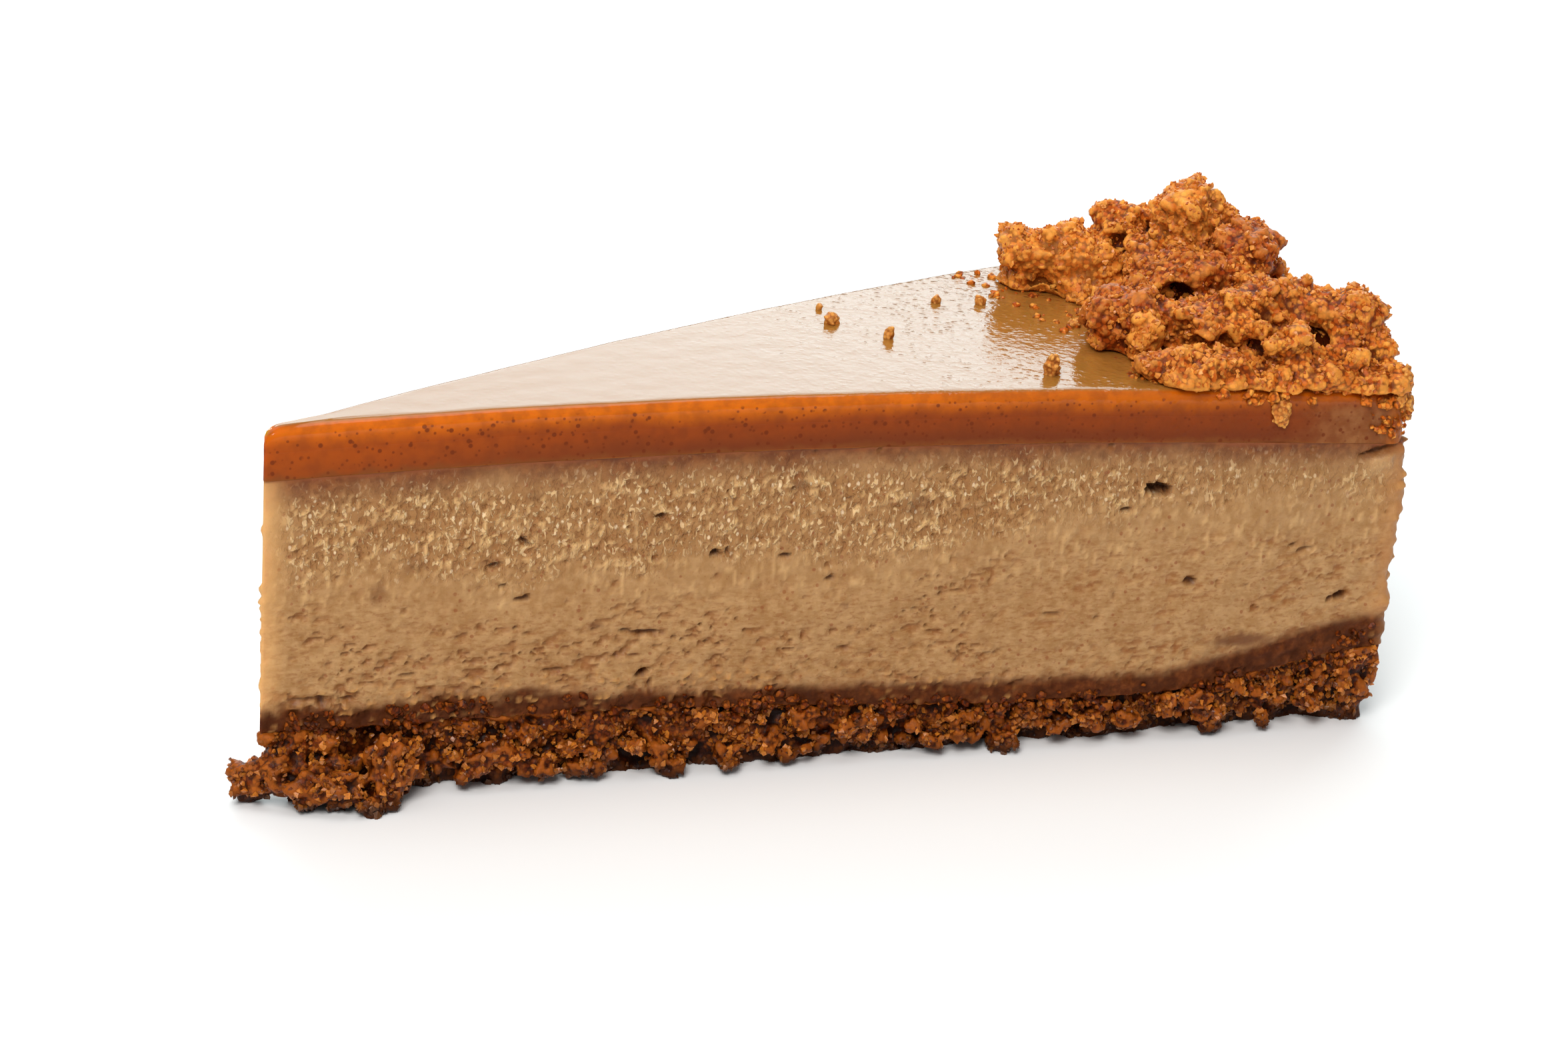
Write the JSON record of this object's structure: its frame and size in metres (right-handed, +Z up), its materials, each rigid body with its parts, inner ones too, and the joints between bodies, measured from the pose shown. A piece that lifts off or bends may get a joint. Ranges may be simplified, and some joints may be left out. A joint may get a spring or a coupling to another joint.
{
  "type": "slice of baked caramel cheesecake",
  "caption": "Wedge of baked cheesecake on a crumb base, with a set caramel glaze and biscuit crumble heaped along its rim.",
  "frame": {"origin": "on the flat underside, on the slice's centre line, 64.6 mm from where its two cuts meet, so near the middle of its length", "axes": "+X along the centre line from the tip to the rim, +Y to the left of it, +Z up; the two cuts are mirror images across the XZ plane"},
  "size_m": [0.1346, 0.0582, 0.0566],
  "materials": {
    "biscuit_base": "matte",
    "baked_cheese": "satin",
    "caramel": "gloss",
    "crumble": "matte"
  },
  "bodies": {
    "root": {"crumb_base": "biscuit_base", "cheese_filling": "baked_cheese", "caramel_glaze": "caramel", "biscuit_crumble": "crumble"}
  },
  "joints": []
}
